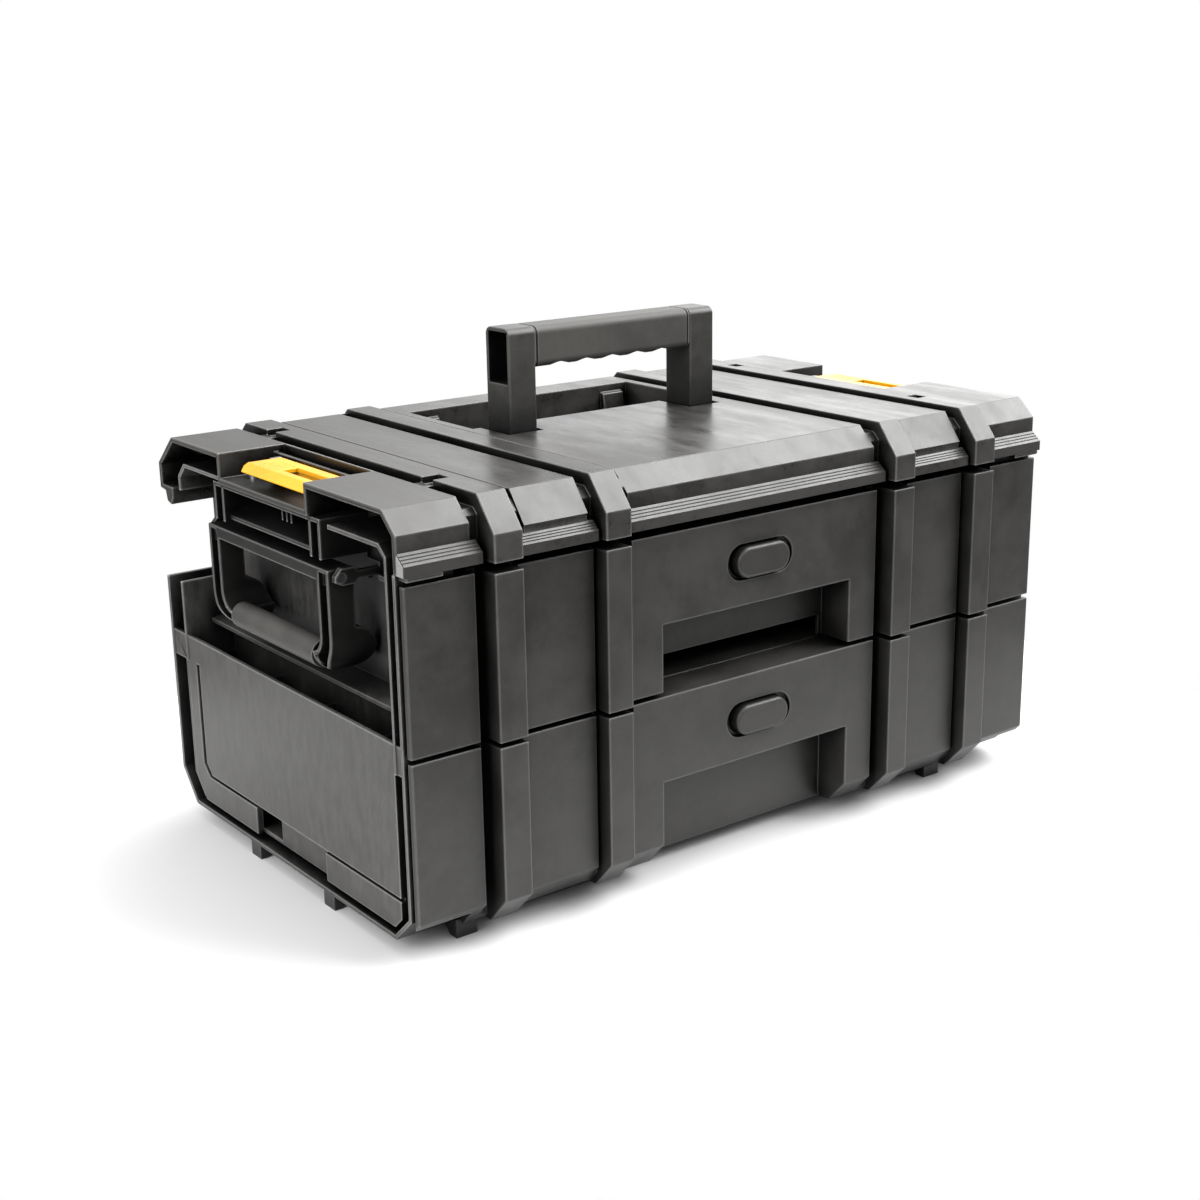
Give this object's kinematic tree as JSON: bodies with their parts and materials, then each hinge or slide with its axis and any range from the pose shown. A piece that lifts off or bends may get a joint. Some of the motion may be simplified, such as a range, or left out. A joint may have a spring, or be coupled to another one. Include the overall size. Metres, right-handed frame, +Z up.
{
  "type": "drawer tool chest",
  "caption": "Stackable moulded tool chest with sliding drawers, push-button releases, a folding top handle, side carry handles and end latches.",
  "frame": {"origin": "centre of the footprint, at the underside of the lugs", "axes": "+X along the length to the right-hand end, -Y towards the drawer fronts, +Z up"},
  "size_m": [0.55, 0.336, 0.354],
  "materials": {
    "black_plastic": "fine grained moulded",
    "tray_plastic": "smooth moulded",
    "button_plastic": "fine grained moulded",
    "grip_rubber": "matte",
    "yellow_plastic": "satin moulded",
    "slide_steel": "zinc plated",
    "fastener_steel": "zinc plated",
    "spring_steel": "drawn wire"
  },
  "bodies": {
    "housing": {"top_cover": "black_plastic", "base_floor": "black_plastic", "back_panel": "black_plastic", "middle_shelf": "black_plastic", "base_screws": "fastener_steel", "lid_screws": "fastener_steel", "top_handle_pins": "fastener_steel", "left_end_frame": "black_plastic", "left_side_handle_bracket": "black_plastic", "left_side_handle_pins": "fastener_steel", "left_latch_pin": "fastener_steel", "left_upper_slide_outer": "slide_steel", "left_lower_slide_outer": "slide_steel", "right_end_frame": "black_plastic", "right_side_handle_bracket": "black_plastic", "right_side_handle_pins": "fastener_steel", "right_latch_pin": "fastener_steel", "right_upper_slide_outer": "slide_steel", "right_lower_slide_outer": "slide_steel"},
    "upper_drawer": {"upper_drawer_front": "black_plastic", "upper_drawer_tray": "tray_plastic", "upper_front_screws": "fastener_steel", "upper_lock_bracket": "black_plastic", "upper_lever_pin": "fastener_steel", "left_upper_slide_inner": "slide_steel", "right_upper_slide_inner": "slide_steel"},
    "left_upper_slide_middle_member": {"left_upper_slide_middle": "slide_steel"},
    "right_upper_slide_middle_member": {"right_upper_slide_middle": "slide_steel"},
    "upper_release_button": {"upper_button": "button_plastic", "upper_button_spring": "spring_steel"},
    "upper_catch": {"upper_catch_lever": "black_plastic"},
    "lower_drawer": {"lower_drawer_front": "black_plastic", "lower_drawer_tray": "tray_plastic", "lower_front_screws": "fastener_steel", "lower_lock_bracket": "black_plastic", "lower_lever_pin": "fastener_steel", "left_lower_slide_inner": "slide_steel", "right_lower_slide_inner": "slide_steel"},
    "left_lower_slide_middle_member": {"left_lower_slide_middle": "slide_steel"},
    "right_lower_slide_middle_member": {"right_lower_slide_middle": "slide_steel"},
    "lower_release_button": {"lower_button": "button_plastic", "lower_button_spring": "spring_steel"},
    "lower_catch": {"lower_catch_lever": "black_plastic"},
    "top_handle": {"top_handle_frame": "black_plastic", "top_handle_grip": "grip_rubber"},
    "left_side_handle": {"left_side_handle_bail": "black_plastic", "left_side_handle_grip": "grip_rubber"},
    "left_stacking_latch": {"left_latch": "yellow_plastic"},
    "right_side_handle": {"right_side_handle_bail": "black_plastic", "right_side_handle_grip": "grip_rubber"},
    "right_stacking_latch": {"right_latch": "yellow_plastic"}
  },
  "joints": [
    {"name": "upper_drawer_slide", "type": "slide", "parent": "housing", "child": "upper_drawer", "axis": [0, -1, 0], "range_m": [0, 0.23]},
    {"name": "left_upper_middle_slide", "type": "slide", "parent": "housing", "child": "left_upper_slide_middle_member", "axis": [0, -1, 0], "range_m": [0, 0.115]},
    {"name": "right_upper_middle_slide", "type": "slide", "parent": "housing", "child": "right_upper_slide_middle_member", "axis": [0, -1, 0], "range_m": [0, 0.115]},
    {"name": "upper_button_press", "type": "slide", "parent": "upper_drawer", "child": "upper_release_button", "axis": [0, 1, 0], "range_m": [0, 0.004], "stiffness_N_per_m": 300, "springref_m": -0.003},
    {"name": "upper_catch_swing", "type": "hinge", "parent": "upper_drawer", "child": "upper_catch", "pos_m": [0, -0.106, 0.232], "axis": [1, 0, 0], "range_deg": [0, 11]},
    {"name": "lower_drawer_slide", "type": "slide", "parent": "housing", "child": "lower_drawer", "axis": [0, -1, 0], "range_m": [0, 0.23]},
    {"name": "left_lower_middle_slide", "type": "slide", "parent": "housing", "child": "left_lower_slide_middle_member", "axis": [0, -1, 0], "range_m": [0, 0.115]},
    {"name": "right_lower_middle_slide", "type": "slide", "parent": "housing", "child": "right_lower_slide_middle_member", "axis": [0, -1, 0], "range_m": [0, 0.115]},
    {"name": "lower_button_press", "type": "slide", "parent": "lower_drawer", "child": "lower_release_button", "axis": [0, 1, 0], "range_m": [0, 0.004], "stiffness_N_per_m": 300, "springref_m": -0.003},
    {"name": "lower_catch_swing", "type": "hinge", "parent": "lower_drawer", "child": "lower_catch", "pos_m": [0, -0.106, 0.1225], "axis": [1, 0, 0], "range_deg": [0, 11]},
    {"name": "top_handle_fold", "type": "hinge", "parent": "housing", "child": "top_handle", "pos_m": [0, 0.01, 0.268], "axis": [-1, 0, 0], "range_deg": [0, 90]},
    {"name": "left_side_handle_swing", "type": "hinge", "parent": "housing", "child": "left_side_handle", "pos_m": [-0.267, 0.012, 0.227], "axis": [0, 1, 0], "range_deg": [0, 90]},
    {"name": "left_latch_lift", "type": "hinge", "parent": "housing", "child": "left_stacking_latch", "pos_m": [-0.244, 0, 0.2765], "axis": [0, 1, 0], "range_deg": [0, 35]},
    {"name": "right_side_handle_swing", "type": "hinge", "parent": "housing", "child": "right_side_handle", "pos_m": [0.267, 0.012, 0.227], "axis": [0, -1, 0], "range_deg": [0, 90]},
    {"name": "right_latch_lift", "type": "hinge", "parent": "housing", "child": "right_stacking_latch", "pos_m": [0.244, 0, 0.2765], "axis": [0, -1, 0], "range_deg": [0, 35]}
  ],
  "couplings": [
    {"joint": "left_upper_middle_slide", "follows": "upper_drawer_slide", "ratio": 0.5},
    {"joint": "right_upper_middle_slide", "follows": "upper_drawer_slide", "ratio": 0.5},
    {"joint": "upper_catch_swing", "follows": "upper_button_press", "rad_per_m": 47.6},
    {"joint": "left_lower_middle_slide", "follows": "lower_drawer_slide", "ratio": 0.5},
    {"joint": "right_lower_middle_slide", "follows": "lower_drawer_slide", "ratio": 0.5},
    {"joint": "lower_catch_swing", "follows": "lower_button_press", "rad_per_m": 47.6}
  ]
}
